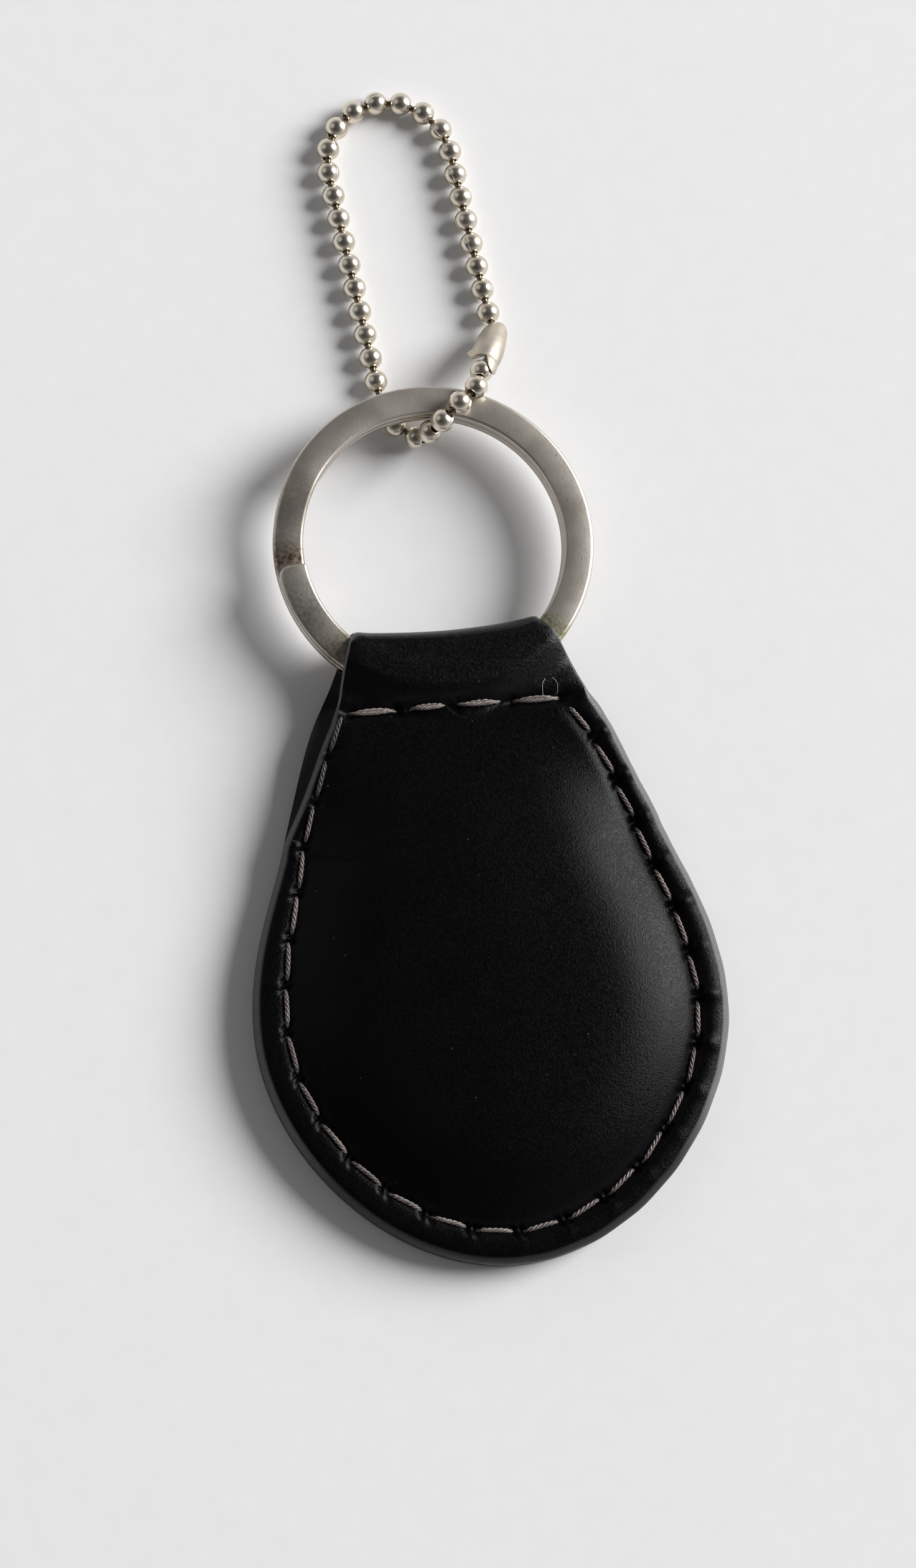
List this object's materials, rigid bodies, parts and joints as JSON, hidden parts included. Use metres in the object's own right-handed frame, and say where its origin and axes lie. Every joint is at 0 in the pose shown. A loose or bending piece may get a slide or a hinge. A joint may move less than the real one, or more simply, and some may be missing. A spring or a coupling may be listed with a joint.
{
  "type": "leather key fob",
  "caption": "Padded teardrop leather key fob with a stitched seam, a folded loop holding a flat split ring, and a ball chain with its connector on the ring.",
  "frame": {"origin": "on the flat back face, at the middle of the widest line of the teardrop", "axes": "+Z out of the padded front, +Y from the tip along the fob towards the ring, +X to the right"},
  "size_m": [0.0468, 0.1203, 0.0075],
  "materials": {
    "leather": "smooth black, soft gloss",
    "thread": "twisted taupe thread",
    "padding": "felt",
    "ring_nickel": "worn nickel plate",
    "chain_nickel": "polished nickel plate"
  },
  "bodies": {
    "fob": {"front_panel": "leather", "back_panel": "leather", "padding_core": "padding", "seam_thread_front": "thread", "seam_thread_back": "thread"},
    "loop": {"hanger_strap": "leather", "cross_thread_front": "thread", "cross_thread_back": "thread"},
    "ring": {"split_ring": "ring_nickel"},
    "chain_bight": {"chain_bead_02": "chain_nickel", "chain_bead_03": "chain_nickel", "chain_bead_04": "chain_nickel", "chain_bead_05": "chain_nickel", "chain_bead_06": "chain_nickel", "chain_bead_07": "chain_nickel", "chain_bead_08": "chain_nickel"},
    "chain_row_02": {"chain_bead_01": "chain_nickel", "chain_bead_09": "chain_nickel", "chain_bead_10": "chain_nickel", "chain_bead_22": "chain_nickel"},
    "connector": {"chain_connector": "chain_nickel"},
    "chain_row_03": {"chain_bead_11": "chain_nickel", "chain_bead_23": "chain_nickel"},
    "chain_row_04": {"chain_bead_12": "chain_nickel", "chain_bead_24": "chain_nickel"},
    "chain_row_05": {"chain_bead_13": "chain_nickel", "chain_bead_25": "chain_nickel"},
    "chain_row_06": {"chain_bead_14": "chain_nickel", "chain_bead_26": "chain_nickel"},
    "chain_row_07": {"chain_bead_15": "chain_nickel", "chain_bead_27": "chain_nickel"},
    "chain_row_08": {"chain_bead_16": "chain_nickel", "chain_bead_28": "chain_nickel"},
    "chain_row_09": {"chain_bead_17": "chain_nickel", "chain_bead_29": "chain_nickel"},
    "chain_row_10": {"chain_bead_18": "chain_nickel", "chain_bead_30": "chain_nickel"},
    "chain_top": {"chain_bead_19": "chain_nickel", "chain_bead_20": "chain_nickel", "chain_bead_21": "chain_nickel", "chain_bead_31": "chain_nickel", "chain_bead_32": "chain_nickel", "chain_bead_33": "chain_nickel", "chain_bead_34": "chain_nickel"}
  },
  "joints": [
    {"name": "neck_flex", "type": "hinge", "parent": "fob", "child": "loop", "pos_m": [0, 0.0286, 0.00305], "axis": [1, 0, 0], "range_deg": [-35, 60], "stiffness_Nm_per_rad": 0.1},
    {"name": "ring_turn", "type": "hinge", "parent": "loop", "child": "ring", "pos_m": [-0.0005, 0.0472, 0.0037], "axis": [0, 0, 1], "continuous": true},
    {"name": "chain_travel", "type": "hinge", "parent": "loop", "child": "chain_bight", "pos_m": [-0.0005, 0.0472, 0.0037], "axis": [0, 0, 1], "range_deg": [-75, 75]},
    {"name": "chain_bend_01", "type": "hinge", "parent": "chain_bight", "child": "chain_row_02", "pos_m": [0.00093, 0.06361, 0.00337], "axis": [0.9022, -0.1216, 0.4139], "range_deg": [-15, 15]},
    {"name": "connector_unclip", "type": "slide", "parent": "chain_row_02", "child": "connector", "axis": [0.9035, -0.4286, 0], "range_m": [0, 0.004]},
    {"name": "chain_bend_02", "type": "hinge", "parent": "chain_row_02", "child": "chain_row_03", "pos_m": [0.00199, 0.06991, 0.00126], "axis": [0.9943, 0.1059, 0.0135], "range_deg": [-15, 15]},
    {"name": "chain_bend_03", "type": "hinge", "parent": "chain_row_03", "child": "chain_row_04", "pos_m": [0.00173, 0.07238, 0.00118], "axis": [0.9945, 0.1045, 0], "range_deg": [-15, 15]},
    {"name": "chain_bend_04", "type": "hinge", "parent": "chain_row_04", "child": "chain_row_05", "pos_m": [0.00147, 0.07487, 0.00118], "axis": [0.9945, 0.1045, 0], "range_deg": [-15, 15]},
    {"name": "chain_bend_05", "type": "hinge", "parent": "chain_row_05", "child": "chain_row_06", "pos_m": [0.00121, 0.07736, 0.00118], "axis": [0.9945, 0.1045, 0], "range_deg": [-15, 15]},
    {"name": "chain_bend_06", "type": "hinge", "parent": "chain_row_06", "child": "chain_row_07", "pos_m": [0.00095, 0.07984, 0.00118], "axis": [0.9945, 0.1045, 0], "range_deg": [-15, 15]},
    {"name": "chain_bend_07", "type": "hinge", "parent": "chain_row_07", "child": "chain_row_08", "pos_m": [0.00069, 0.08233, 0.00118], "axis": [0.9945, 0.1045, 0], "range_deg": [-15, 15]},
    {"name": "chain_bend_08", "type": "hinge", "parent": "chain_row_08", "child": "chain_row_09", "pos_m": [0.00043, 0.08482, 0.00118], "axis": [0.9945, 0.1045, 0], "range_deg": [-15, 15]},
    {"name": "chain_bend_09", "type": "hinge", "parent": "chain_row_09", "child": "chain_row_10", "pos_m": [0.00017, 0.0873, 0.00118], "axis": [0.9945, 0.1045, 0], "range_deg": [-15, 15]},
    {"name": "chain_bend_10", "type": "hinge", "parent": "chain_row_10", "child": "chain_top", "pos_m": [-0.00009, 0.08976, 0.00118], "axis": [0.9945, 0.1045, 0], "range_deg": [-15, 15]}
  ]
}
